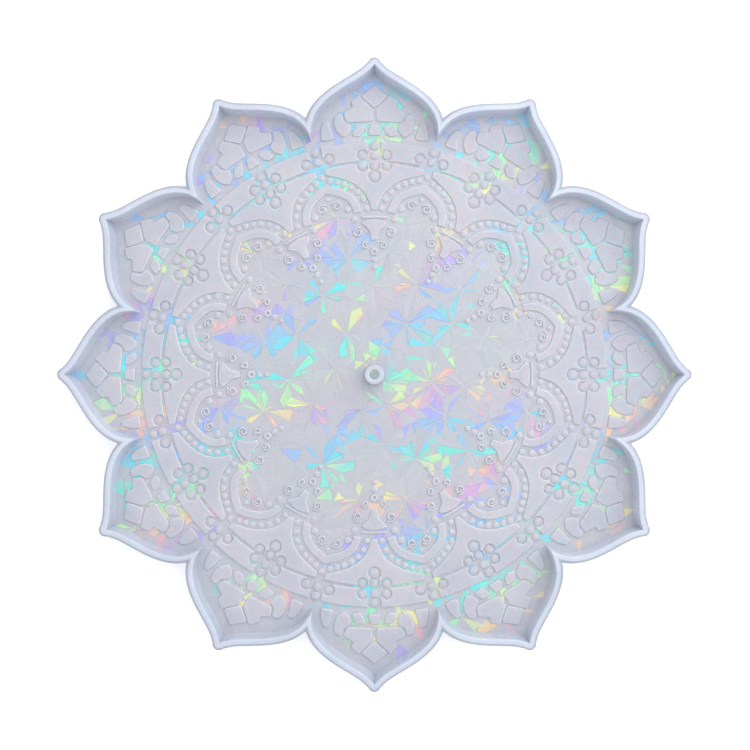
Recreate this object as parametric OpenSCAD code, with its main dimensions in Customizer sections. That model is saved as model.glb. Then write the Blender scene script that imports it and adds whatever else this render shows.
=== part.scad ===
// Resin casting mould: a shallow one-piece silicone tray in the outline of a twelve-petalled
// lotus. It has a raised rim, a hollow post at the centre, and a mandala of low pads, beads and
// scrolls standing on a patterned floor.
// Sizes are in millimetres. The underside is at z = 0, the post stands on the z axis, and the
// first petal points along +y.

/* [Body] */
// Distance from the centre to a petal's tip
tip_r = 127.3; // [127:0.1:130]
// Overall height of the mould
mould_h = 11; // [9:0.5:16]
// Thickness of the sheet under the patterned floor
base_t = 2.6; // [2:0.1:3.5]
// Thickness of the patterned floor
floor_t = 0.4; // [0.2:0.1:0.8]
// Width of the rim
rim_w = 3; // [2.4:0.1:3.4]

/* [Petal outline] */
// Radius of the rounded nub on a petal's tip
nub_r = 2.7; // [2.4:0.1:2.9]
// Reach to the side, and drop below the tip, where the nub runs into the flank
flank_start = [3.3, 2.5]; // [2:0.1:4]
// Reach and drop of the point that draws the flank in
flank_flare = [8.3, 8.7]; // [7:0.1:10]
// Reach and drop of the point that pushes the shoulder out
flank_shoulder = [30, 13.8]; // [12:0.1:32]
// Reach and drop of the flank's foot, hidden behind the next petal
flank_end = [28.4, 31.9]; // [27:0.1:34]

/* [Centre post] */
// Outside diameter of the post, which leaves the shaft hole in a casting
post_d = 8; // [6:0.1:12]
// Diameter of the bore down the post
bore_d = 4.4; // [2:0.1:5]

/* [Relief] */
// Height of the pads above the floor
pad_h = 0.8; // [0.4:0.1:1.2]
// Height of the beads and dots above the floor
bead_h = 0.7; // [0.4:0.1:1.2]
// Width of the raised line that a scroll is drawn with
stroke_w = 0.6; // [0.4:0.05:0.7]
// Inner and outer radius of the ring of ribbon pads
band_r = [87.2, 94.8]; // [87:0.1:95]
// Outer radius of the web pads
web_r = 86; // [85:0.1:86.5]
// Distance kept between a pad and the dots it is cut back from
dot_gap = 0.6; // [0.3:0.1:1]

/* [Inner arches] */
// Height of an inner arch's apex above the mould's centre
arch_apex = 79.8; // [78:0.1:80]
// Width of the plain arch band
arch_w = 3.1; // [2.5:0.1:3.5]
// Distance from the arch band to the line of beads round it
bead_line = 2.5; // [2.2:0.1:2.8]
// Distance from the arch band to the web pad outside the beads
web_line = 4.3; // [4:0.1:4.8]
// Radius of a border bead
bead_r = 1.25; // [0.8:0.05:1.3]
// Number of border beads on each side of an arch
beads_a_side = 7; // [4:1:7]

/* [Hidden] */
$fn = 48;

petals = 12;
step = 360 / petals;
floor_top = base_t + floor_t;
curve_steps = 10;
corner_steps = 3;
search_steps = 30;
arc_steps = 8;

// Colours of the silicone: the thin body, the thicker rim, and the frosted relief
body_tint = [0.82, 0.82, 0.87];
rim_tint = [0.86, 0.90, 0.97];
relief_tint = [0.79, 0.79, 0.83];
floor_tint = [0.72, 0.86, 0.92];

// Outward step of the arch band's outer line, which keeps its two sides meeting in a point
arch_out = 0.01;

// How far along an arch's side its first and last border beads stand
first_bead = 0.11;
last_bead = 0.97;

// Dots of the cluster on a petal's axis, and of the smaller one between two petals
dot_r = 1.8;
drop_r = 2.1;
dot_rows = [89.4, 85.1];
dot_pitch = 4.9;
top_dot_y = 93.2;
drop_y = 80.9;
axis_dots = [
    [0, top_dot_y, dot_r], [0, drop_y, drop_r],
    for (y = dot_rows) for (i = [-1:1]) [i * dot_pitch, y, dot_r]
];
valley_pitch = 4.8;
valley_row = 89.6;
valley_top_y = 93.5;
valley_dots = [[0, valley_top_y, dot_r], for (i = [-1:1]) [i * valley_pitch, valley_row, dot_r]];

// Angles, measured from +x, between which half a ribbon pad runs
ribbon_arc = [88.3, 76.6];
// How far in degrees a web pad keeps clear of the line half way to the next one
web_gap = 1.2;

// Height of the bead over an arch's apex above that apex
apex_bead_y = 3.3;
// Small dots inside an arch, as [x, y, radius]
arch_top_dot = [0, 73.8, 0.9];
arch_side_dot = [6.9, 68, 1.4];
// Bead in the corner where two arches meet
corner_bead = [8.1, 63.4, 1.35];
// A fan pendant's half width, the height of its top above the centre, and how far that top is bowed
fan_half = 5.4;
fan_top = 63.4;
fan_bow = 1.4;
// The thin line over a fan pendant: its inner and outer radius, and half its angle
crown_r = [64, 64.7];
crown_half = 4.5;
// The pendant below a fan: a ring, its bore, and two dots under it
pendant_ring = [0, 50.2, 1.5];
pendant_bore = 0.7;
pendant_drops = [[0, 46.9, 1.2], [0, 43.8, 1]];

// Scrolls, as [x, y, radius], each with the angle that its line starts at
arch_scroll = [3, 70.4, 2.3];
arch_scroll_start = 150;
upper_scroll = [6.6, 58, 2.3];
lower_scroll = [3.6, 52.7, 1.8];
pendant_scroll_start = 125;
// Turns of a scroll's line, and the radius of the eye left in its middle
scroll_turns = 1.35;
scroll_eye = 0.35;
small_turns = 1.2;
small_eye = 0.25;
// Straight pieces that one turn of a scroll is drawn with
turn_steps = 12;

// Corner radii of the pads, from the sharpest to the roundest
soft = [0.5, 0.6, 0.8, 1, 1.2];
// How far a cut runs past what it cuts
past = 1;

// Point at t on the cubic curve that the four points p steer
function cubic(p, t) =
    pow(1 - t, 3) * p[0] + 3 * pow(1 - t, 2) * t * p[1] + 3 * (1 - t) * t * t * p[2] + pow(t, 3) * p[3];

// Direction of that curve at t
function heading(p, t) =
    let (v = pow(1 - t, 2) * (p[1] - p[0]) + 2 * (1 - t) * t * (p[2] - p[1]) + t * t * (p[3] - p[2]))
    v / norm(v);

// Point at t, moved d to the left of the way the curve runs
function beside(p, d, t) =
    let (h = heading(p, t)) cubic(p, t) + d * [-h[1], h[0]];

function polar(r, a) = [r * cos(a), r * sin(a)];
function turned(p, a) = [p[0] * cos(a) - p[1] * sin(a), p[0] * sin(a) + p[1] * cos(a)];
function flipped(pts) = [for (i = [len(pts) - 1:-1:0]) [-pts[i][0], pts[i][1]]];
function backwards(pts) = [for (i = [len(pts) - 1:-1:0]) pts[i]];

// Arc that takes the corner b between a and c off with radius r
function corner(a, b, c, r) =
    let (
        u = (a - b) / norm(a - b),
        v = (c - b) / norm(c - b),
        half = acos(u * v) / 2,
        reach = min(r / tan(half), 0.48 * norm(a - b), 0.48 * norm(c - b)),
        fit = reach * tan(half),
        m = b + (u + v) / norm(u + v) * fit / sin(half),
        from = b + u * reach - m,
        to = b + v * reach - m,
        start = atan2(from[1], from[0]),
        swing = atan2(from[0] * to[1] - from[1] * to[0], from * to)
    )
    [for (i = [0:corner_steps]) m + polar(fit, start + swing * i / corner_steps)];

function rounded(pts, r) =
    let (n = len(pts))
    [for (i = [0:n - 1]) each corner(pts[(i + n - 1) % n], pts[i], pts[(i + 1) % n], r)];

// A petal's right flank, from the nub to its foot
flank = [for (p = [flank_start, flank_flare, flank_shoulder, flank_end]) [p[0], tip_r - p[1]]];

// Where the flank, moved in by d, crosses the line half way to the next petal
function crossing(d, lo = 0, hi = 1, n = search_steps) =
    let (mid = (lo + hi) / 2, p = beside(flank, -d, mid))
    n == 0 ? lo : atan2(p[0], p[1]) < step / 2 ? crossing(d, mid, hi, n - 1) : crossing(d, lo, mid, n - 1);

function flank_points(d) =
    let (end = crossing(d)) [for (i = [0:curve_steps]) beside(flank, -d, end * i / curve_steps)];

// The point of a petal whose flanks are moved in by d
function pointed_tip(d) =
    let (p = beside(flank, -d, 0), h = heading(flank, 0)) [[0, p[1] - p[0] * h[1] / h[0]]];

// Corner radius of the sheet's middle, which reaches a little past the valleys between the petals
past_valley = 1.2;
middle_r = norm(beside(flank, 0, crossing(0))) + past_valley;

nub_angles = [18, 42, 66];
nub_half = [for (a = backwards(nub_angles)) [0, tip_r - nub_r] + polar(nub_r, a)];

// Half a petal from its tip to the valley beside it
function half_petal(d) = concat(d > 0 ? pointed_tip(d) : [[0, tip_r], each nub_half], flank_points(d));

// The whole outline, moved in by d
function lotus(d) =
    let (
        right = half_petal(d),
        left = flipped(right),
        both = concat([for (i = [1:len(left) - 1]) left[i]], [for (i = [1:len(right) - 1]) right[i]])
    )
    [for (k = [0:petals - 1]) each [for (p = both) turned(p, -k * step)]];

// An inner arch's right side, from its apex to its foot, with the arch standing on +y
arch = [[0, arch_apex], [5.6, arch_apex - 2.8], [12.6, arch_apex - 5.3], [12.1, arch_apex - 14.3]];

// The arch moved out by d, with its two sides brought to a point on the axis
function arch_side(d) =
    let (p = beside(arch, d, 0), h = heading(arch, 0), apex = [0, p[1] - p[0] * h[1] / h[0]])
    d > 0 ? [apex, for (i = [0:curve_steps]) beside(arch, d, i / curve_steps)]
          : [apex, for (i = [0:curve_steps]) let (q = beside(arch, d, i / curve_steps)) if (q[0] > 0) q];

function arch_line(d) = let (s = arch_side(d)) concat(flipped(s), [for (i = [1:len(s) - 1]) s[i]]);

module on_floor() translate([0, 0, floor_top]) children();

module at_petals() for (k = [0:petals - 1]) rotate(k * step) children();

module at_valleys() rotate(step / 2) at_petals() children();

module both_sides() {
    children();
    mirror([1, 0, 0]) children();
}

// Low pad over an outline, with its corners taken off by r
module pad(pts, r = soft[2]) linear_extrude(pad_h) polygon(rounded(pts, r));

// Round dot, placed and sized by [x, y, radius]
module dot(d, wider = 0, h = bead_h) translate([d[0], d[1], 0]) cylinder(h = h, r = d[2] + wider);

module dots(list) for (d = list) dot(d);

// Clearance round a cluster of dots, for cutting a pad back
module dot_room(list) translate([0, 0, -past]) for (d = list) dot(d, dot_gap, pad_h + 2 * past);

// Clearance below the row of dots at height y, as wide as the row
module row_room(pitch, y) translate([-pitch, 0, -past]) cube([2 * pitch, y, pad_h + 2 * past]);

// Raised line that winds in from a place and radius p = [x, y, radius], starting at angle a
module scroll(p, a, turns = scroll_turns, eye = scroll_eye) {
    n = ceil(turns * turn_steps);
    function on_line(i, inner) =
        polar(p[2] - (p[2] - eye - stroke_w) * i / n - (inner ? stroke_w : 0), a - 360 * turns * i / n);
    translate([p[0], p[1], 0]) linear_extrude(bead_h)
        polygon(concat([for (i = [0:n]) on_line(i, false)], [for (i = [n:-1:0]) on_line(i, true)]));
}

// Twelve-sided middle of the sheet, one side across the root of each petal
module middle() polygon([for (k = [0:petals - 1]) polar(middle_r, (k + 0.5) * step)]);

// Middle of the sheet that carries everything
module base_sheet() {
    color(body_tint) linear_extrude(base_t) intersection() {
        polygon(lotus(0));
        middle();
    }
}

// The sheet's twelve petals, outside its middle
module petal_sheets() {
    color(body_tint) linear_extrude(base_t) difference() {
        polygon(lotus(0));
        middle();
    }
}

// Upright rim along the whole outline
module rim_wall() {
    color(rim_tint) translate([0, 0, base_t]) linear_extrude(mould_h - base_t) difference() {
        polygon(lotus(0));
        polygon(lotus(rim_w));
    }
}

// Hollow post on the middle of the floor
module centre_post() {
    color(rim_tint) on_floor() difference() {
        cylinder(h = mould_h - floor_top, d = post_d);
        translate([0, 0, -past]) cylinder(h = mould_h, d = bore_d);
    }
}

// Patterned film that lines the cavity
module hologram_floor() {
    color(floor_tint) translate([0, 0, base_t]) linear_extrude(floor_t) polygon(lotus(rim_w));
}

// Diamond behind each petal's tip
module diamond_pads() {
    diamond = [[0, 117.9], [5.5, 113.4], [0, 108.8], [-5.5, 113.4]];
    color(relief_tint) on_floor() at_petals() pad(diamond);
}

// Two large lobes under each diamond, which make a heart together
module heart_lobe_pads() {
    lobe = [[0.9, 108.3], [6.4, 114], [9.6, 111], [8.6, 108.9], [12.8, 106.6], [11, 102.8], [0.9, 103.4]];
    color(relief_tint) on_floor() at_petals() both_sides() pad(lobe, soft[3]);
}

// Curled pad on either side of the lobes
module s_curve_pads() {
    curl = [[12.4, 96.4], [9.9, 99], [9.5, 101.6], [12.5, 103.4], [13.5, 106.9], [16.2, 105.3],
            [16.5, 102.4], [15.4, 99]];
    color(relief_tint) on_floor() at_petals() both_sides() pad(curl, soft[4]);
}

// Leaf at each petal's shoulders
module side_leaf_pads() {
    leaf = [[16.4, 95.9], [17.8, 99.8], [18.7, 103.2], [21, 102.6], [21.9, 99.3], [21.8, 95.2]];
    color(relief_tint) on_floor() at_petals() both_sides() pad(leaf);
}

// Three small pads across each petal's root
module base_trio_pads() {
    wedge = [[1.5, 101.7], [2.7, 97.7], [-2.7, 97.7], [-1.5, 101.7]];
    tooth = [[3.9, 101.5], [7.6, 101.3], [9.3, 97.6], [6.3, 97], [4.4, 98.9]];
    color(relief_tint) on_floor() at_petals() {
        pad(wedge, soft[1]);
        both_sides() pad(tooth, soft[1]);
    }
}

// Ring of ribbon pads between the petals and the web, broken by the clusters of dots
module ribbon_pads() {
    angles = [for (i = [0:arc_steps]) ribbon_arc[0] + (ribbon_arc[1] - ribbon_arc[0]) * i / arc_steps];
    inner = [for (a = angles) polar(band_r[0], a)];
    outer = [for (a = backwards(angles)) polar(band_r[1], a)];
    color(relief_tint) on_floor() at_petals() both_sides() difference() {
        linear_extrude(pad_h) polygon(concat(inner, outer));
        dot_room(axis_dots);
        row_room(dot_pitch, dot_rows[0]);
        rotate(-step / 2) {
            dot_room(valley_dots);
            row_room(valley_pitch, valley_row);
        }
    }
}

// Cluster of dots on each petal's axis
module axis_dot_clusters() {
    color(relief_tint) on_floor() at_petals() dots(axis_dots);
}

// Smaller cluster between two petals
module valley_dot_clusters() {
    color(relief_tint) on_floor() at_valleys() dots(valley_dots);
}

// Wide pad that fills the web between two arches
module web_pads() {
    // The arch's web line seen from the petal's axis, up to the end of the web
    line = [for (p = flipped(arch_side(web_line))) turned(p, -step / 2)];
    span = 90 - step / 2 + web_gap;
    edge = [for (p = line) if (p[0] > stroke_w && atan2(p[1], p[0]) > span) p];
    top = [for (i = [0:arc_steps]) polar(web_r, span + (90 - span) * i / arc_steps)];
    right = concat(edge, top);
    color(relief_tint) on_floor() at_petals() difference() {
        linear_extrude(pad_h) polygon(concat(right, flipped(right)));
        dot_room(axis_dots);
    }
}

// Line of beads round the outside of each arch
module bead_borders() {
    spots = [for (i = [0:beads_a_side - 1]) first_bead + (last_bead - first_bead) * i / (beads_a_side - 1)];
    color(relief_tint) on_floor() at_valleys() {
        dot([0, arch_apex + apex_bead_y, bead_r]);
        both_sides() dots([for (t = spots) [each beside(arch, bead_line, t), bead_r]]);
    }
}

// Plain pointed band of each arch
module arch_bands() {
    color(relief_tint) on_floor() at_valleys() linear_extrude(pad_h)
        polygon(concat(arch_line(arch_out), backwards(arch_line(-arch_w))));
}

// Pair of scrolls inside each arch
module arch_scrolls() {
    color(relief_tint) on_floor() at_valleys() both_sides() scroll(arch_scroll, arch_scroll_start);
}

// Dots over and beside those scrolls
module arch_dots() {
    color(relief_tint) on_floor() at_valleys() {
        dot(arch_top_dot);
        both_sides() dot(arch_side_dot);
    }
}

// Beads in the corners where the arches meet
module corner_beads() {
    color(relief_tint) on_floor() at_petals() both_sides() dot(corner_bead);
}

// Fan that hangs between two arches, with a bowed top and a narrow foot
module fan_pads() {
    n = arc_steps / 2;
    crown = [for (i = [-n:n]) [fan_half * i / n, fan_top - fan_bow * pow(i / n, 2)]];
    foot = [[2, 58.8], [1.1, 55], [-1.1, 55], [-2, 58.8]];
    color(relief_tint) on_floor() at_petals() pad(concat(crown, foot), soft[0]);
}

// Thin curved line over each fan
module fan_crowns() {
    arc = [for (i = [-3:3]) 90 + crown_half * i / 3];
    inner = [for (a = arc) polar(crown_r[0], a)];
    outer = [for (a = backwards(arc)) polar(crown_r[1], a)];
    color(relief_tint) on_floor() at_petals() linear_extrude(bead_h) polygon(concat(inner, outer));
}

// Pair of scrolls beside each fan
module upper_scrolls() {
    color(relief_tint) on_floor() at_petals() both_sides() scroll(upper_scroll, pendant_scroll_start);
}

// Smaller pair of scrolls under each fan
module lower_scrolls() {
    color(relief_tint) on_floor() at_petals() both_sides()
        scroll(lower_scroll, pendant_scroll_start, small_turns, small_eye);
}

// Small ring under each fan
module pendant_rings() {
    bore = [pendant_ring[0], pendant_ring[1], pendant_bore];
    color(relief_tint) on_floor() at_petals() difference() {
        dot(pendant_ring);
        translate([0, 0, -past]) dot(bore, 0, bead_h + 2 * past);
    }
}

// Two dots that end the pendant
module pendant_dots() {
    color(relief_tint) on_floor() at_petals() dots(pendant_drops);
}

base_sheet();
petal_sheets();
rim_wall();
centre_post();
hologram_floor();
diamond_pads();
heart_lobe_pads();
s_curve_pads();
side_leaf_pads();
base_trio_pads();
ribbon_pads();
axis_dot_clusters();
valley_dot_clusters();
web_pads();
bead_borders();
arch_bands();
arch_scrolls();
arch_dots();
corner_beads();
fan_pads();
fan_crowns();
upper_scrolls();
lower_scrolls();
pendant_rings();
pendant_dots();
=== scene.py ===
# Resin casting mould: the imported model, dressed as translucent silicone over a holographic floor.
# Sizes are in metres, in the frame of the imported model, with +Z up out of the cavity.
import math
import random

import bmesh
import bpy
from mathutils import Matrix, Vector
from mathutils.geometry import delaunay_2d_cdt


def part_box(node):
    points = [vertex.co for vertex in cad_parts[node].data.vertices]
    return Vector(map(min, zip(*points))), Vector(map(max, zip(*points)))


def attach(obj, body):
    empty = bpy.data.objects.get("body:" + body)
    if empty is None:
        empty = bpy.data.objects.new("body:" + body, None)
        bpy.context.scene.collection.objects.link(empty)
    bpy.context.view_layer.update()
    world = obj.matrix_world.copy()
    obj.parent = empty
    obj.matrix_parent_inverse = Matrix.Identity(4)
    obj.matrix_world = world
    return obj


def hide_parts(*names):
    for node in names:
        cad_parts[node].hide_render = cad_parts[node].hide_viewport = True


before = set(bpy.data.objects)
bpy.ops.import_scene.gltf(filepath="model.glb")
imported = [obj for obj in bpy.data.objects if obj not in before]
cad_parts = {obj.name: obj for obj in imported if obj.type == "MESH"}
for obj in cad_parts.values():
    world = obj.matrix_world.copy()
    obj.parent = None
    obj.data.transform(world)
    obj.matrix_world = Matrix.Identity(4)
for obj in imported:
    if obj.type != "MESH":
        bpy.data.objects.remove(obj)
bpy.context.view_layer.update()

MM = 0.001
MICRON = 1e-6
PER_METRE = 1e6           # microns in a metre
NEARLY = 1e-6             # lengths and heights this close to each other count as equal
PETALS = 12
STEP = 2 * math.pi / PETALS
RIM_W = 3.0 * MM          # width of the rim's wall along a petal's side
ARC_POINTS = 44           # steps along each half of a petal's outline

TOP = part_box("rim_wall")[1].z              # top of the rim and of the post
SHEET_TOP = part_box("base_sheet")[1].z      # top of the flat sheet, under the casting face
FLOOR_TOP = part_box("hologram_floor")[1].z  # top of the casting face


# ---------------------------------------------------------------- outlines read from the CAD nodes

def outline_loops(node, height):
    """Closed loops of (x, y) round the flat face of a node at that height, longest reach first."""
    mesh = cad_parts[node].data
    spots = [v.co for v in mesh.vertices]
    edges = {}
    for face in mesh.polygons:
        if any(abs(spots[v].z - height) >= NEARLY for v in face.vertices):
            continue
        ids = [(round(spots[v].x * PER_METRE), round(spots[v].y * PER_METRE)) for v in face.vertices]
        for a, b in zip(ids, ids[1:] + ids[:1]):
            if edges.get((b, a)):
                edges[(b, a)] -= 1
            else:
                edges[(a, b)] = edges.get((a, b), 0) + 1
    after = {a: b for (a, b), count in edges.items() if count}
    loops = []
    while after:
        loop, at = [], next(iter(after))
        while at in after:
            loop.append(at)
            at = after.pop(at)
        loops.append([Vector((x * MICRON, y * MICRON)) for x, y in loop])
    return sorted(loops, key=lambda loop: -max(p.length for p in loop))


def anticlockwise(points):
    """The loop, turned round if it runs clockwise."""
    turning = sum(a.x * b.y - b.x * a.y for a, b in zip(points, points[1:] + points[:1]))
    return points if turning > 0 else points[::-1]


def petal_arcs(loop):
    """The loop cut at its tips and valleys, as arcs that run anticlockwise."""
    points = anticlockwise(loop)
    marks = []
    for k in range(2 * PETALS):
        a = k * STEP / 2
        toward = [(p.x * math.cos(a) + p.y * math.sin(a)) / p.length for p in points]
        near = [i for i in range(len(points)) if toward[i] > math.cos(STEP / 8)]
        best = max if k % 2 == 0 else min
        marks.append(best(near, key=lambda i: points[i].length))
    arcs = []
    for i, j in zip(marks, marks[1:] + marks[:1]):
        arcs.append([points[(i + s) % len(points)] for s in range((j - i) % len(points) + 1)])
    return arcs


def spaced(arc, steps):
    """Points evenly spaced along an arc, on a smooth curve through its own points."""
    length = [0.0]
    for a, b in zip(arc, arc[1:]):
        length.append(length[-1] + (b - a).length)
    out, at = [], 0
    for i in range(steps + 1):
        s = length[-1] * i / steps
        while at < len(arc) - 2 and length[at + 1] < s:
            at += 1
        t = min(max((s - length[at]) / (length[at + 1] - length[at]), 0.0), 1.0)
        b, c = arc[at], arc[at + 1]
        a = arc[at - 1] if at > 0 else b * 2 - c
        d = arc[at + 2] if at + 2 < len(arc) else c * 2 - b
        out.append(0.5 * ((2 * b) + (c - a) * t + (2 * a - 5 * b + 4 * c - d) * t * t
                          + (3 * b - a - 3 * c + d) * t ** 3))
    return out


def petal_ring(loop):
    """A loop of petals as a closed ring of points, with the same number in each half of a petal."""
    return [p for arc in petal_arcs(loop) for p in spaced(arc, ARC_POINTS)[:-1]]


outer_ring, inner_ring = [petal_ring(loop) for loop in outline_loops("rim_wall", TOP)[:2]]


def ring_at(share):
    """The ring of points that share of the way from the rim's outer face to its inner face."""
    return [a + (b - a) * share for a, b in zip(outer_ring, inner_ring)]


# ---------------------------------------------------------------- points and meshes

def polar(radius, angle):
    """The point at that distance and angle from the middle."""
    return Vector((radius * math.cos(angle), radius * math.sin(angle)))


def circle(radius, count, centre=Vector((0, 0))):
    """That many points evenly spaced round a circle, anticlockwise from +X."""
    turns = [2 * math.pi * i / count for i in range(count)]
    return [Vector((centre.x + radius * math.cos(t), centre.y + radius * math.sin(t))) for t in turns]


def rounding(across, height, radius, rise, degrees):
    """Points (across, height) at those angles on an ellipse, to round an edge with."""
    return [(across + radius * math.cos(math.radians(a)), height + rise * math.sin(math.radians(a)))
            for a in degrees]


def middle_of(points):
    """The average of the points."""
    return sum(points, Vector((0, 0))) / len(points)


def inside(p, loop):
    """Whether p lies inside a closed loop of points."""
    crossings = 0
    for a, b in zip(loop, loop[1:] + loop[:1]):
        if (a.y > p.y) != (b.y > p.y) and p.x < a.x + (b.x - a.x) * (p.y - a.y) / (b.y - a.y):
            crossings += 1
    return crossings % 2 == 1


def moved_in(points, distance):
    """An anticlockwise loop moved in by a distance, with its sharp corners held back."""
    sharpest = 0.6
    out = []
    for a, b, c in zip(points[-1:] + points[:-1], points, points[1:] + points[:1]):
        u, v = (b - a).normalized(), (c - b).normalized()
        inward = Vector((-u.y, u.x)) + Vector((-v.y, v.x))
        if inward.length < NEARLY:
            out.append(b.copy())
            continue
        inward.normalize()
        cosine = max(inward.dot(Vector((-u.y, u.x))), sharpest)
        out.append(b + inward * distance / cosine)
    return out


def ring_verts(bm, points, z):
    """A vertex at each of the points, at height z."""
    return [bm.verts.new((p.x, p.y, z)) for p in points]


def bridge(bm, low, high):
    """A band of faces between two closed rings of vertices."""
    count = len(low)
    for i in range(count):
        j = (i + 1) % count
        bm.faces.new((low[i], low[j], high[j], high[i]))


def bridge_all(bm, rings):
    """Bands of faces between each ring and the next."""
    for low, high in zip(rings, rings[1:]):
        bridge(bm, low, high)


def capped(bm, ring):
    """Fills a flat ring of vertices with triangles."""
    spots = [v.co.xy for v in ring]
    outline = list(range(len(ring)))
    found, _, faces, origin, _, _ = delaunay_2d_cdt(spots, [], [outline], 0, NEARLY / 100, True)
    at = [ring[of[0]] if of else bm.verts.new((p.x, p.y, ring[0].co.z)) for p, of in zip(found, origin)]
    for f in faces:
        if inside(middle_of([found[i] for i in f]), spots):
            bm.faces.new([at[i] for i in f])


def smooth_by_angle(bm, degrees):
    """Smooth shading, broken along the edges where two faces meet at more than that angle."""
    limit = math.radians(degrees)
    for f in bm.faces:
        f.smooth = True
    for e in bm.edges:
        e.smooth = not (len(e.link_faces) == 2 and e.calc_face_angle(0) > limit)


def upright(face):
    """Whether a face stands up, and isn't one of the flat ones above or below."""
    return abs(face.normal.z) < 0.9


def shaded(bm, shade_of, blue=1.01):
    """Paints shade into the mesh's colours: shade_of(vertex, face) is the share kept of the silicone's
    colour.
    The painted shades keep a little more of the blue."""
    paint = bm.loops.layers.float_color.get("painted_shade") or bm.loops.layers.float_color.new("painted_shade")
    for f in bm.faces:
        for loop in f.loops:
            shade = shade_of(loop.vert, f)
            loop[paint] = (shade, shade, min(1.0, shade * blue), 1.0)


def new_piece(name, bm, material, slot, *replaced):
    """The mesh as a named piece of the mould, in place of the CAD nodes it replaces."""
    mesh = bpy.data.meshes.new(name)
    bm.to_mesh(mesh)
    bm.free()
    obj = bpy.data.objects.new(name, mesh)
    bpy.context.scene.collection.objects.link(obj)
    mesh.materials.append(material)
    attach(obj, "root")
    if replaced:
        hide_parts(*replaced)
    return obj


# ---------------------------------------------------------------- materials

def nodes_of(name):
    """A new material, its node tree and its shader."""
    mat = bpy.data.materials.new(name)
    mat.use_nodes = True
    tree = mat.node_tree
    return mat, tree, tree.nodes["Principled BSDF"]


def noise(tree, scale, detail, rough=0.5):
    """Noise fixed to the object; returns its factor socket."""
    coord = tree.nodes.new("ShaderNodeTexCoord")
    tex = tree.nodes.new("ShaderNodeTexNoise")
    tex.inputs["Scale"].default_value = scale
    tex.inputs["Detail"].default_value = detail
    tex.inputs["Roughness"].default_value = rough
    tree.links.new(coord.outputs["Object"], tex.inputs["Vector"])
    return tex.outputs["Fac"]


def ramp(tree, source, stops):
    """Colours that follow a factor, from stops of (position, colour); returns the colour socket."""
    node = tree.nodes.new("ShaderNodeValToRGB")
    band = node.color_ramp
    band.elements[0].position, band.elements[0].color = stops[0]
    band.elements[1].position, band.elements[1].color = stops[-1]
    for at, colour in stops[1:-1]:
        band.elements.new(at).color = colour
    tree.links.new(source, node.inputs["Fac"])
    return node.outputs["Color"]


def multiplied(tree, first, second):
    """Two colours multiplied; returns the result socket."""
    mix = tree.nodes.new("ShaderNodeMix")
    mix.data_type = "RGBA"
    mix.blend_type = "MULTIPLY"
    mix.inputs["Factor"].default_value = 1.0
    tree.links.new(first, mix.inputs["A"])
    tree.links.new(second, mix.inputs["B"])
    return mix.outputs["Result"]


def painted(tree, layer):
    """The mesh's own painted colours; returns the colour socket."""
    node = tree.nodes.new("ShaderNodeVertexColor")
    node.layer_name = layer
    return node.outputs["Color"]


def bumped(tree, shader, height, strength, depth):
    """Fine relief of that strength and depth on the surface's skin."""
    skin = tree.nodes.new("ShaderNodeBump")
    skin.inputs["Strength"].default_value = strength
    skin.inputs["Distance"].default_value = depth
    tree.links.new(height, skin.inputs["Height"])
    tree.links.new(skin.outputs["Normal"], shader.inputs["Normal"])


def grey(value):
    """Opaque grey of a linear value."""
    return (value, value, value, 1.0)


def tone(r, g, b):
    """Linear colour from the 0..255 display tone it should have."""
    def linear(c):
        c = c / 255
        return c / 12.92 if c <= 0.04045 else ((c + 0.055) / 1.055) ** 2.4
    return (linear(r), linear(g), linear(b), 1.0)


BLUISH = (0.90, 0.985, 1.0, 1.0)
PINKISH = (1.0, 0.925, 0.97, 1.0)


def silicone(name, pale, deep, rough, bump=0.10, subsurface=0.25, glow=0.0, spread=1.6 * MM):
    """Translucent silicone: cloudy, with a faint pink and blue mottle, and a fine frosted skin.
    The mesh's painted colours add painted shade along edges and down walls; glow paints light into it."""
    mat, tree, shader = nodes_of(name)
    cloud = ramp(tree, noise(tree, scale=45, detail=4), [(0.35, deep), (0.62, pale)])
    mottle = ramp(tree, noise(tree, scale=330, detail=3, rough=0.6),
                  [(0.36, BLUISH), (0.50, grey(0.98)), (0.64, PINKISH)])
    speck = ramp(tree, noise(tree, scale=900, detail=2), [(0.30, grey(0.95)), (0.62, grey(1.0))])
    colour = multiplied(tree, multiplied(tree, cloud, mottle), speck)
    colour = multiplied(tree, colour, painted(tree, "painted_shade"))
    tree.links.new(colour, shader.inputs["Base Color"])
    wiped, dusty = grey(rough * 0.75), grey(min(1.0, rough * 1.35))
    gloss = ramp(tree, noise(tree, scale=110, detail=5, rough=0.6), [(0.30, wiped), (0.70, dusty)])
    tree.links.new(gloss, shader.inputs["Roughness"])
    bumped(tree, shader, noise(tree, scale=2600, detail=2), strength=bump, depth=0.08 * MM)
    shader.inputs["Subsurface Weight"].default_value = subsurface
    shader.inputs["Subsurface Radius"].default_value = (1.0, 1.0, 1.1)
    shader.inputs["Subsurface Scale"].default_value = spread
    shader.inputs["IOR"].default_value = 1.41
    shader.inputs["Sheen Weight"].default_value = 0.08
    shader.inputs["Sheen Roughness"].default_value = 0.5
    # painted glow: the surface shines of itself, though it is no lamp
    if glow:
        shader.inputs["Emission Color"].default_value = pale
        shader.inputs["Emission Strength"].default_value = glow
    return mat


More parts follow.
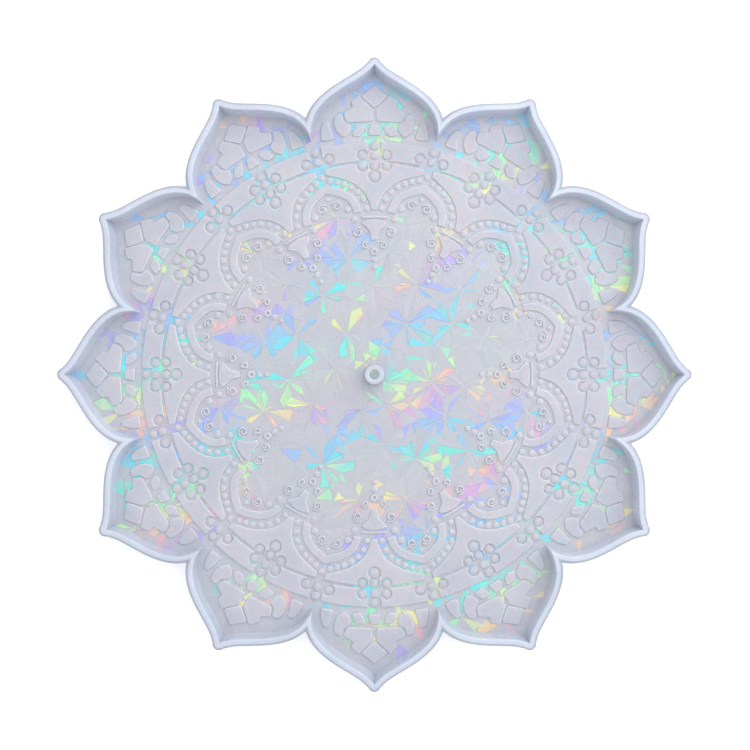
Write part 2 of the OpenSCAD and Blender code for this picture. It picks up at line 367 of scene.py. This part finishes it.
def hologram_material():
    """The floor's embossed facets: each facet carries its own painted colour, a rainbow reflection where
    it is lit, over a fine ruled grain.
    """
    mat, tree, shader = nodes_of("hologram_foil")
    grain = ramp(tree, noise(tree, scale=700, detail=2), [(0.3, grey(0.95)), (0.65, grey(1.0))])
    tree.links.new(multiplied(tree, painted(tree, "facet"), grain), shader.inputs["Base Color"])
    haze = ramp(tree, noise(tree, scale=160, detail=4), [(0.35, grey(0.22)), (0.70, grey(0.40))])
    tree.links.new(haze, shader.inputs["Roughness"])
    bumped(tree, shader, noise(tree, scale=3200, detail=1), strength=0.06, depth=0.05 * MM)
    shader.inputs["IOR"].default_value = 1.45
    shader.inputs["Coat Weight"].default_value = 0.35
    shader.inputs["Coat Roughness"].default_value = 0.12
    return mat


SIDE_SHADE = 0.80         # share of the silicone's own colour that the mould's outer side keeps, a painted shade
body_mat = silicone("body_silicone", tone(205, 206, 219), tone(196, 197, 212), rough=0.42)
rim_mat = silicone("rim_silicone", tone(223, 229, 240), tone(213, 220, 232), rough=0.30,
                   bump=0.05, subsurface=0.35)
# the bore's inner face glows: painted light in place of light passing through the silicone into the bore
bore_glow_mat = silicone("bore_silicone_painted_glow", tone(222, 232, 228), tone(212, 222, 220), rough=0.35,
                    bump=0.05, subsurface=0.0, glow=0.42)
# pale base tone, so that the relief's sides carry painted light; its flat tops are painted deeper
relief_mat = silicone("frosted_silicone", tone(241, 240, 251), tone(229, 232, 246), rough=0.55,
                      bump=0.15, subsurface=0.7, spread=3.0 * MM)
hologram_mat = hologram_material()


# ---------------------------------------------------------------- rim

def build_rim():
    """The raised rim: upright outer face, rounded top, and a draughted inner face with a soft foot."""
    outer_r, inner_r = 1.0 * MM, 0.40 * MM    # radii of the top's outer and inner edge
    foot = 0.5 * MM                           # radius of the fillet between wall and floor
    draft = 0.05                              # how far the inner face leans, as a share of the width
    outer, inner = outer_r / RIM_W, inner_r / RIM_W
    wall = TOP - FLOOR_TOP
    # (share of the way in, height, share of the silicone's own colour), the last a painted shade: darkest
    # on the rounded outer edge, a little darker down the inner wall
    profile = [(0.0, SHEET_TOP, SIDE_SHADE), (0.0, (SHEET_TOP + TOP) / 2, SIDE_SHADE)]
    profile += [(u, z, 0.66) for u, z in
                rounding(outer, TOP - outer_r, outer, outer_r, range(180, 104, -15))]
    profile += [(outer * 1.10, TOP - 0.02 * MM, 0.95), (0.45, TOP - 0.04 * MM, 0.98), (0.72, TOP, 1.0)]
    profile += [(u, z, 1.0) for u, z in
                rounding(1 - inner - draft, TOP - inner_r, inner, inner_r, (90, 67.5, 45, 22.5, 0))]
    profile += [(1 - draft * 0.8, TOP - wall * 0.25, 0.93), (1 - draft * 0.4, TOP - wall * 0.5, 0.92),
                (1.0, FLOOR_TOP + foot, 0.92), (1 + foot * 0.3 / RIM_W, FLOOR_TOP + foot * 0.3, 0.94),
                (1 + foot / RIM_W, FLOOR_TOP - 0.1 * MM, 0.97), (1 + foot / RIM_W, SHEET_TOP, 1.0)]
    bm = bmesh.new()
    bm.loops.layers.float_color.new("painted_shade")
    rings = [ring_verts(bm, ring_at(share), z) for share, z, _ in profile]
    shade_at = {v: shade for ring, (_, _, shade) in zip(rings, profile) for v in ring}
    bridge_all(bm, rings + rings[:1])
    shaded(bm, lambda vert, face: shade_at[vert], blue=1.02)
    bmesh.ops.remove_doubles(bm, verts=bm.verts, dist=NEARLY)
    bmesh.ops.recalc_face_normals(bm, faces=bm.faces)
    smooth_by_angle(bm, degrees=50)
    return new_piece("rim_moulding", bm, rim_mat, "silicone_rim", "rim_wall")


build_rim()


# ---------------------------------------------------------------- sheet under the floor

def build_sheet():
    """The flat sheet: rounded lower edge, upright side, and a flat face below and above."""
    edge = 0.5 * MM
    inset = 0.72              # reach of the flat faces' inner ring, as a share of the outline's
    bm = bmesh.new()
    rings = [ring_verts(bm, ring_at(d / RIM_W), z)
             for d, z in rounding(edge, edge, -edge, -edge, (90, 60, 30, 0))]
    rings.append(ring_verts(bm, ring_at(0.0), SHEET_TOP))
    bridge_all(bm, rings)
    for ring, z in ((rings[0], 0.0), (rings[-1], SHEET_TOP)):
        centre = bm.verts.new((0, 0, z))
        inner = ring_verts(bm, [v.co.xy * inset for v in ring], z)
        bridge(bm, inner, ring)
        for a, b in zip(inner, inner[1:] + inner[:1]):
            bm.faces.new((centre, a, b))
    bmesh.ops.remove_doubles(bm, verts=bm.verts, dist=NEARLY)
    bmesh.ops.recalc_face_normals(bm, faces=bm.faces)
    smooth_by_angle(bm, degrees=40)
    # painted shade: the upright side is darker than the flat faces
    shaded(bm, lambda vert, face: SIDE_SHADE if upright(face) else 1.0)
    for f in bm.faces:
        f.material_index = 1 if upright(f) else 0
    sheet = new_piece("sheet_moulding", bm, body_mat, "silicone_body", "base_sheet", "petal_sheets")
    sheet.data.materials.append(rim_mat)
    return sheet


build_sheet()


# ---------------------------------------------------------------- centre post

def build_post():
    """The hollow post: a tube with a rounded top, a bore as deep as the floor and a fillet at its foot."""
    low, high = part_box("centre_post")
    outer = (high.x - low.x) / 2
    inner = 2.2 * MM          # radius of the bore
    edge = 0.5 * MM           # radius of the top's edges
    foot = 0.5 * MM           # size of the fillet
    under = FLOOR_TOP - 0.2 * MM
    around = 64
    # painted shade on the upright outer side; the top is a little deeper in tone
    side_shade, top_shade = 0.78, 0.90
    profile = [(inner, under)]
    profile += rounding(inner + edge, TOP - edge, edge, edge, (180, 158, 135, 112, 90))
    profile += rounding(outer - edge, TOP - edge, edge, edge, (90, 68, 45, 22, 0))
    profile += [(outer, FLOOR_TOP + foot), (outer + foot * 0.1, FLOOR_TOP + foot * 0.45),
                (outer + foot * 0.45, FLOOR_TOP + foot * 0.1), (outer + foot, FLOOR_TOP),
                (outer + foot, under)]
    bm = bmesh.new()
    rings = [ring_verts(bm, circle(radius, around), z) for radius, z in profile]
    bridge_all(bm, rings + rings[:1])
    bmesh.ops.recalc_face_normals(bm, faces=bm.faces)
    smooth_by_angle(bm, degrees=50)
    side, bore = outer - edge * 0.5, inner + edge * 0.2
    shaded(bm, lambda vert, face: side_shade if vert.co.xy.length > side else top_shade)
    for f in bm.faces:
        f.material_index = 1 if f.calc_center_median().xy.length < bore else 0
    post = new_piece("post_moulding", bm, rim_mat, "silicone_rim", "centre_post")
    # the bore's faces take the glowing material, a painted light
    post.data.materials.append(bore_glow_mat)
    return post


build_post()


# ---------------------------------------------------------------- holographic floor

SEED = 41
STAR_GAP = 19.0 * MM      # distance between the centres of two bursts
ROW_GAP = 0.87            # distance between two rows of centres, as a share of STAR_GAP
WANDER = 0.24             # how far a centre may stray each way, as a share of STAR_GAP
LANCE = 12.0 * MM         # length that a burst's shards are measured by
LANCES = (8, 9, 10, 11)   # how many shards a burst may have
JITTER = 0.26             # how far a shard's direction may stray, as a share of the turn between two
LONG = (0.80, 1.15)       # lengths of every second shard, as shares of LANCE
SHORT = (0.50, 0.85)      # lengths of the shards between them
ROOT = (0.02, 0.10)       # distances of a shard's root from the centre, as shares of LANCE
WIDE = (0.60, 1.0)        # angles to its shoulders, as shares of half the turn between two shards
SHOULDER = (0.55, 1.05)   # distances of its shoulders from the centre, as shares of its length
LEAN = 0.10               # how far its tip may lean to a side, in radians
SPLIT = 0.4               # share of shards that are split down the middle
WEDGES = 0.65             # share of the spaces between two shards that hold a wedge pointing inwards
HALF_WEDGE = (0.35, 0.60) # half a wedge's angle, as shares of half the turn between two shards
APEX = (0.62, 0.85)       # distances of a wedge's point from the centre, as shares of LANCE
BACK = (1.05, 1.35)       # and of its back
LINE = 0.19 * MM          # width of the dull line round a shard
SINK = 0.16 * MM          # how far a facet's corner may lie below the floor
DEPTHS = (0.05, 1.0)      # depths of the facets' corners, as shares of SINK
BORDER = 1.02             # where the facets end, as a share of the way across the rim from outside
BORDER_STEP = 4           # the facets' border has one in so many of the rim's points
POST_CLEAR = 2.5 * MM     # distance from the middle within which no facet is lit, in the post's bore

# A shard that catches light carries its rainbow reflection as painted colour; the rest keep the dull tone.
DULL = (200, 201, 210)    # display tone of a facet that catches no light
LIT = (0.55, 1.0)         # strength of the colour of a shard that catches light
UNLIT = (0.0, 0.07)       # and of one that doesn't
GAP_LIT = (0.4, 0.9)      # the same two for the facets between shards
GAP_UNLIT = (0.0, 0.05)
SHADES = (0.95, 1.03)     # brightness of a shard, as shares of its colour's own
GAP_SHADES = (0.97, 1.02) # and of the facets between shards
LINE_STRENGTH = 0.35      # strength of a line's colour, as a share of its shard's
LINE_LIT = 0.80           # brightness of the line round a lit shard
LINE_UNLIT = 0.96         # and round one that isn't lit
HUE_SPREAD = 0.03         # how far a shard's hue strays, as a standard deviation
HUE_SLOPE = 0.5           # most that the hue may change across one LANCE of a shard
ORDER = 52.0              # mm over which the colours run once through the spectrum, from top to bottom
CROSS_ORDER = 95.0        # mm over which they run once from left to right, near a patch
OVERLAP = 1.2             # how much more is lit where patches meet
MOST_LIT = 0.9            # largest share of shards lit
REST_LIT = 0.06           # share of shards lit away from every patch
GAP_SHARE = 0.34          # how often a facet between shards is lit, as a share of how often a shard is
COOL = 0.5                # hues below this are cool, and are lit less on facets that face up or down
COOL_LEAST = 0.20         # how often a cool facet facing up or down is lit, as a share of the rest
COOL_MORE = 1.1           # how much more often one that faces left or right is lit

# Hues from violet through green to pink, as (hue, display tone)
SPECTRUM = [
    (0.00, (184, 174, 250)), (0.14, (172, 190, 252)), (0.27, (142, 212, 252)), (0.38, (112, 238, 252)),
    (0.48, (122, 246, 232)), (0.57, (158, 248, 205)), (0.66, (196, 250, 186)), (0.74, (246, 250, 178)),
    (0.83, (252, 218, 180)), (0.92, (247, 190, 196)), (1.00, (214, 178, 232)),
]

# Patches of floor that catch the light, painted as rainbow reflections: (x, y, radius) in mm, share of
# shards lit, hue at the middle
GLOWS = [
    (17, 17, 14, 1.00, 0.30), (28, 31, 10, 0.60, 0.26), (-16, 47, 12, 0.90, 0.22),
    (32, 46, 11, 0.65, 0.04), (-44, 16, 13, 0.90, 0.20), (-37, 1, 10, 0.65, 0.46),
    (-44, -14, 8, 0.65, 0.74), (-60, -16, 8, 0.60, 0.10), (-15, -16, 9, 0.80, 0.06),
    (-16, -31, 10, 0.75, 0.34), (18, -30, 8, 0.55, 0.46), (40, -32, 9, 0.40, 0.40),
    (24, -15, 12, 0.95, 0.08), (50, -16, 12, 0.50, 0.08), (10, -3, 9, 0.65, 0.60),
    (-4, 8, 7, 0.50, 0.66), (-14, -47, 10, 0.60, 0.68), (45, -47, 11, 0.65, 0.06),
    (15, -61, 12, 1.00, 0.10), (46, -62, 14, 1.00, 0.30), (6, -77, 15, 1.00, 0.36),
    (-2, 108, 18, 1.00, 0.34), (-46, 92, 17, 1.00, 0.20), (-16, 90, 13, 0.95, 0.26),
    (40, 92, 17, 1.00, 0.38), (-48, 74, 15, 1.00, 0.34), (61, 62, 15, 1.00, 0.34),
    (-94, 16, 17, 0.95, 0.24), (-92, 0, 12, 0.75, 0.46), (-72, -30, 17, 1.00, 0.30),
    (-100, -34, 12, 0.75, 0.30), (-82, -62, 15, 0.95, 0.86), (105, -8, 16, 1.00, 0.69),
    (96, 38, 14, 0.90, 0.63), (62, 46, 10, 0.50, 0.42), (-84, 52, 12, 0.45, 0.48),
    (84, -38, 15, 0.65, 0.40), (54, -88, 18, 0.95, 0.62), (-54, -88, 14, 0.40, 0.66),
    (58, 98, 15, 1.00, 0.38), (86, 62, 13, 1.00, 0.34), (92, -54, 13, 0.75, 0.64),
    (-106, -8, 14, 0.90, 0.58), (2, -98, 16, 0.90, 0.62), (-106, 46, 13, 0.85, 0.44),
]


def pastel(hue, strength):
    """Soft spectral colour, between the dull tone and the spectrum's own."""
    hue = hue % 1.0
    for (a, low), (b, high) in zip(SPECTRUM, SPECTRUM[1:]):
        if hue <= b:
            t = (hue - a) / (b - a)
            rgb = [low[i] + (high[i] - low[i]) * t for i in range(3)]
            break
    return tone(*[DULL[i] + (rgb[i] - DULL[i]) * strength for i in range(3)])


def light_on(p, rng):
    """(share lit, hue) of the light on the floor at p, from one of the patches near it."""
    x, y = p.x / MM, p.y / MM
    reach = [most * math.exp(-((x - at_x) ** 2 + (y - at_y) ** 2) / (radius * radius))
             for at_x, at_y, radius, most, _ in GLOWS]
    share = min(OVERLAP * (1 - math.prod(1 - r for r in reach)) + REST_LIT, MOST_LIT)
    pick = rng.random() * sum(r ** 3 for r in reach)
    for (at_x, at_y, _, _, hue), r in zip(GLOWS, reach):
        pick -= r ** 3
        if pick <= 0:
            break
    return share, hue + (at_y - y) / ORDER + (x - at_x) / CROSS_ORDER


def star_centres(rng, reach):
    """Centres of the bursts: staggered rows, each centre strayed a little."""
    centres = []
    rows = int(reach / (STAR_GAP * ROW_GAP)) + 1
    for j in range(-rows, rows + 1):
        for i in range(-rows - 1, rows + 2):
            at = Vector(((i + 0.5 * (j % 2)) * STAR_GAP, j * STAR_GAP * ROW_GAP))
            at += Vector((rng.uniform(-WANDER, WANDER), rng.uniform(-WANDER, WANDER))) * STAR_GAP
            if at.length < reach:
                centres.append(at)
    return centres


def burst(rng, centre):
    """The shards of one burst: kites of uneven length round its centre, some split down the middle,
    and wedges between them."""
    shards = []
    lances = rng.choice(LANCES)
    room = math.pi / lances       # half the turn between two shards
    spin = rng.uniform(0, 2 * math.pi)
    for k in range(lances):
        a = spin + 2 * math.pi * (k + rng.uniform(-JITTER, JITTER)) / lances
        length = LANCE * rng.uniform(*(LONG if k % 2 else SHORT))
        wide = room * rng.uniform(*WIDE)
        root = centre + polar(LANCE * rng.uniform(*ROOT), a)
        tip = centre + polar(length, a + rng.uniform(-LEAN, LEAN))
        left = centre + polar(length * rng.uniform(*SHOULDER), a + wide)
        right = centre + polar(length * rng.uniform(*SHOULDER), a - wide)
        if rng.random() < SPLIT:
            shards += [[root, tip, left], [root, right, tip]]
        else:
            shards.append([root, right, tip, left])
        if rng.random() < WEDGES:
            between = a + room
            half = room * rng.uniform(*HALF_WEDGE)
            apex = centre + polar(LANCE * rng.uniform(*APEX), between)
            far = LANCE * rng.uniform(*BACK)
            back = [centre + polar(far, between - half), centre + polar(far, between + half)]
            shards.append([apex] + back)
    return shards


def scattered(rng, boundary):
    """Every shard on the floor, as a line and as the core inside it: (outlines, looks).
    A look is (kind, (hue, strength, change of hue along the shard, shade), whether it is lit)."""
    outlines, looks = [], []
    centres = star_centres(rng, max(p.length for p in inner_ring))
    for centre in centres:
        for corners in burst(rng, centre):
            middle = middle_of(corners)
            if (middle - centre).length > min((middle - other).length for other in centres) + NEARLY:
                continue
            share, hue = light_on(middle, rng)
            if hue % 1 < COOL:
                sideways = abs((middle - centre).normalized().x)
                share *= COOL_LEAST + COOL_MORE * sideways ** 2
            lit = rng.random() < share and middle.length > POST_CLEAR
            look = (hue + rng.gauss(0, HUE_SPREAD), rng.uniform(*(LIT if lit else UNLIT)),
                    rng.uniform(-HUE_SLOPE, HUE_SLOPE), rng.uniform(*SHADES))
            if not all(inside(p, boundary) for p in corners):
                continue
            outlines += [corners, moved_in(corners, LINE)]
            looks += [("line", look, lit), ("core", look, lit)]
    return outlines, looks


def facet_colour(kind, look, lit, along):
    """Colour of a facet's corner that lies that far to the right of the facet's middle."""
    hue, strength, slope, shade = look
    if kind == "core":
        hue += slope * along / LANCE
    elif kind == "line":
        strength *= LINE_STRENGTH
        shade = LINE_LIT if lit else LINE_UNLIT
    return [min(c * shade, 1.0) for c in pastel(hue, strength)[:3]] + [1.0]


def close_underneath(bm, paint):
    """Side walls down to the sheet and a flat underside, in the dull tone."""
    border = [e for e in bm.edges if len(e.link_faces) == 1]
    skirt = bmesh.ops.extrude_edge_only(bm, edges=border)["geom"]
    low = {v for v in skirt if isinstance(v, bmesh.types.BMVert)}
    for v in low:
        v.co.z = SHEET_TOP
    lower = [e for e in skirt if isinstance(e, bmesh.types.BMEdge) and all(v in low for v in e.verts)]
    bmesh.ops.contextual_create(bm, geom=lower)
    dull = pastel(0, 0)
    for f in bm.faces:
        if abs(f.normal.z) < 0.5 or f.calc_center_median().z < SHEET_TOP + NEARLY:
            for loop in f.loops:
                loop[paint] = dull
    bmesh.ops.triangulate(bm, faces=[f for f in bm.faces if len(f.verts) > 4])
    bmesh.ops.recalc_face_normals(bm, faces=bm.faces)


def build_hologram():
    """The casting face, cut into facets by the shards, each corner sunk a little and painted with its
    reflected rainbow light.
    """
    rng = random.Random(SEED)
    boundary = ring_at(BORDER)[::BORDER_STEP]
    outlines, looks = scattered(rng, boundary)
    points, shapes = list(boundary), []
    for outline in outlines:
        shapes.append(list(range(len(points), len(points) + len(outline))))
        points += outline
    edges = [(i, (i + 1) % len(boundary)) for i in range(len(boundary))]
    spots, _, faces, _, _, origin = delaunay_2d_cdt(points, edges, shapes, 0, 2 * NEARLY, True)

    bm = bmesh.new()
    paint = bm.loops.layers.float_color.new("facet")
    corners = [bm.verts.new((p.x, p.y, FLOOR_TOP - rng.uniform(*DEPTHS) * SINK)) for p in spots]
    for f, owners in zip(faces, origin):
        middle = middle_of([spots[i] for i in f])
        if not inside(middle, boundary):
            continue
        face = bm.faces.new([corners[i] for i in f])
        share, hue = light_on(middle, rng)
        lit = rng.random() < share * GAP_SHARE and middle.length > POST_CLEAR
        strength = rng.uniform(*(GAP_LIT if lit else GAP_UNLIT))
        gap = ("gap", (hue, strength, 0.0, rng.uniform(*GAP_SHADES)), lit)
        cores = [looks[o] for o in owners if looks[o][0] == "core"]
        lines = [looks[o] for o in owners if looks[o][0] == "line"]
        owner = (cores + lines + [gap])[0]
        for loop in face.loops:
            loop[paint] = facet_colour(*owner, loop.vert.co.x - middle.x)
    loose = [v for v in bm.verts if not v.link_faces]
    bmesh.ops.delete(bm, geom=loose, context="VERTS")
    for f in bm.faces:
        f.smooth = False
        if f.normal.z < 0:
            f.normal_flip()
    close_underneath(bm, paint)
    return new_piece("hologram_facets", bm, hologram_mat, "holographic_floor", "hologram_floor")


build_hologram()


# ---------------------------------------------------------------- relief

FOOT = FLOOR_TOP - SINK - 0.05 * MM    # bottom of the relief, just below the deepest facet
PAD_EDGE = 0.34 * MM                   # radius of the rounded top edge of a pad
THIN_EDGE = 0.16 * MM                  # the same for the thin scrolls and crowns
RING_EDGE = 0.2 * MM                   # and for the rings
TOP_SHADE = 0.785                      # share of the silicone's own colour that the flat tops keep; with the pale base tone this paints the sides lighter, a painted light against the shade at their feet

PADS = ("diamond_pads", "heart_lobe_pads", "s_curve_pads", "side_leaf_pads", "base_trio_pads",
        "ribbon_pads", "web_pads", "arch_bands", "fan_pads")
THIN_PADS = ("fan_crowns", "arch_scrolls", "upper_scrolls", "lower_scrolls")
BEADS = ("axis_dot_clusters", "valley_dot_clusters", "bead_borders", "arch_dots", "corner_beads",
         "pendant_dots")


def cleaned(loop, shortest):
    """The loop without points closer together than shortest, running anticlockwise."""
    points = [loop[0]]
    for p in loop[1:]:
        if (p - points[-1]).length > shortest:
            points.append(p)
    if (points[0] - points[-1]).length < shortest:
        points.pop()
    return anticlockwise(points)


def puffed(bm, loop, top, edge, hole=None):
    """One pad on the floor: upright side with a small foot, and a rounded top edge."""
    # (distance in from the outline, height)
    steps = [(-0.28 * MM, FOOT), (-0.20 * MM, FLOOR_TOP + 0.04 * MM), (-0.05 * MM, FLOOR_TOP + 0.22 * MM)]
    steps += rounding(edge, top - edge, -edge, edge, (0, 30, 60, 90))

    def sides(points, sign):
        rings = [ring_verts(bm, moved_in(points, sign * d), z) for d, z in steps]
        bridge_all(bm, rings)
        return rings

    rings = sides(loop, 1)
    if hole is None:
        capped(bm, rings[-1])
        capped(bm, rings[0])
        return
    inner = sides(hole, -1)
    bridge(bm, rings[-1], inner[-1])
    bridge(bm, rings[0], inner[0])


def domed(bm, loop, top, around=18):
    """One bead on the floor, as a low dome of the loop's size."""
    xs, ys = [p.x for p in loop], [p.y for p in loop]
    centre = Vector(((min(xs) + max(xs)) / 2, (min(ys) + max(ys)) / 2))
    radius = (max(xs) - min(xs)) / 2
    base = FLOOR_TOP + 0.12 * MM
    # (radius, height), from a foot a little wider than the bead
    profile = [(radius * 1.06, FOOT), (radius * 1.03, FLOOR_TOP + 0.04 * MM)]
    profile += rounding(0.0, base, radius, top - base, (0, 24, 46, 66))
    rings = [ring_verts(bm, circle(r, around, centre), z) for r, z in profile]
    bridge_all(bm, rings)
    crown = bm.verts.new((centre.x, centre.y, top))
    for a, b in zip(rings[-1], rings[-1][1:] + rings[-1][:1]):
        bm.faces.new((a, b, crown))
    bm.faces.new(rings[0][::-1])


def finish_relief(bm, node):
    """Paints the relief's sides lighter than its flat tops, a painted light against the shade at their
    feet, and makes it a piece.
    """
    bmesh.ops.recalc_face_normals(bm, faces=bm.faces)
    smooth_by_angle(bm, degrees=60)
    # the flat tops and undersides are left flat, so that they stay even
    for f in bm.faces:
        f.smooth = abs(f.normal.z) < 0.999
    above = FLOOR_TOP + 0.3 * MM

    def shade(vert, face):
        return TOP_SHADE if face.normal.z > 0.9 and vert.co.z > above else 1.0

    shaded(bm, shade)
    return new_piece(node + "_soft", bm, relief_mat, "frosted_relief", node)


def build_pads(node, edge):
    """Every pad of a node, with its top edges rounded."""
    bm = bmesh.new()
    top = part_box(node)[1].z
    for loop in outline_loops(node, top):
        puffed(bm, cleaned(loop, 0.1 * MM), top, edge)
    finish_relief(bm, node)


def build_beads(node):
    """Every bead of a node."""
    bm = bmesh.new()
    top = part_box(node)[1].z
    for loop in outline_loops(node, top):
        domed(bm, loop, top)
    finish_relief(bm, node)


def build_rings(node, edge):
    """Rings: each outer loop is paired with the hole that shares its centre."""
    def reach(loop):
        middle = middle_of(loop)
        return max((p - middle).length for p in loop)

    bm = bmesh.new()
    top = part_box(node)[1].z
    loops = sorted(outline_loops(node, top), key=reach, reverse=True)
    outers, holes = loops[:len(loops) // 2], loops[len(loops) // 2:]
    for outer in outers:
        middle = middle_of(outer)
        hole = min(holes, key=lambda loop: (middle_of(loop) - middle).length)
        pair = [cleaned(outer, 0), cleaned(hole, 0)]
        count = min(len(loop) for loop in pair)
        outside, within = [circle((loop[0] - middle).length, count, middle) for loop in pair]
        puffed(bm, outside, top, edge, hole=within)
    finish_relief(bm, node)


for node in PADS:
    build_pads(node, PAD_EDGE)
for node in THIN_PADS:
    build_pads(node, THIN_EDGE)
for node in BEADS:
    build_beads(node)
build_rings("pendant_rings", RING_EDGE)


# ---------------------------------------------------------------- studio

def build_floor():
    """A plain pale floor that reaches metres beyond the mould."""
    bm = bmesh.new()
    bmesh.ops.create_grid(bm, x_segments=2, y_segments=2, size=3.0)
    for v in bm.verts:
        v.co.z = -0.2 * MM
    mesh = bpy.data.meshes.new("studio_floor")
    bm.to_mesh(mesh)
    bm.free()
    obj = bpy.data.objects.new("studio_floor", mesh)
    bpy.context.scene.collection.objects.link(obj)
    mat, tree, shader = nodes_of("studio_white")
    shade = ramp(tree, noise(tree, scale=3, detail=2), [(0.3, grey(0.96)), (0.7, grey(0.98))])
    tree.links.new(shade, shader.inputs["Base Color"])
    shader.inputs["Roughness"].default_value = 0.9
    shader.inputs["Specular IOR Level"].default_value = 0.1
    shader.inputs["Emission Color"].default_value = grey(1.0)
    shader.inputs["Emission Strength"].default_value = 0.30
    mesh.materials.append(mat)


def build_world():
    """Even, very slightly blue light from all round."""
    world = bpy.data.worlds.new("studio")
    world.use_nodes = True
    back = world.node_tree.nodes["Background"]
    back.inputs["Color"].default_value = (0.97, 0.98, 1.0, 1.0)
    back.inputs["Strength"].default_value = 0.79
    bpy.context.scene.world = world


def build_lamp(name, at, size, power, colour=(1, 1, 1)):
    """A soft square lamp that points at the middle of the mould."""
    data = bpy.data.lights.new(name, "AREA")
    data.size = size
    data.energy = power
    data.color = colour
    light = bpy.data.objects.new(name, data)
    light.location = at
    light.rotation_mode = "QUATERNION"
    light.rotation_quaternion = (-Vector(at)).to_track_quat("-Z", "Y")
    bpy.context.scene.collection.objects.link(light)


def build_camera():
    """Straight down on the mould, 400 mm above the rim, with 300 mm of the rim's plane across the view."""
    above, across = 0.400, 0.300
    data = bpy.data.cameras.new("camera")
    data.sensor_width = 36
    data.lens = 36 * above / across
    data.clip_start = 0.01
    cam = bpy.data.objects.new("camera", data)
    cam.location = (0.24 * MM, -0.16 * MM, TOP + above)
    bpy.context.scene.collection.objects.link(cam)
    bpy.context.scene.camera = cam


build_floor()
build_world()
build_lamp("key", at=(0.36, 0.34, 0.46), size=0.9, power=3.1)
build_lamp("fill", at=(-0.9, -0.4, 1.1), size=1.2, power=0.5, colour=(0.96, 0.97, 1.0))
build_camera()

view = bpy.context.scene.view_settings
view.view_transform = "Standard"
view.look = "None"
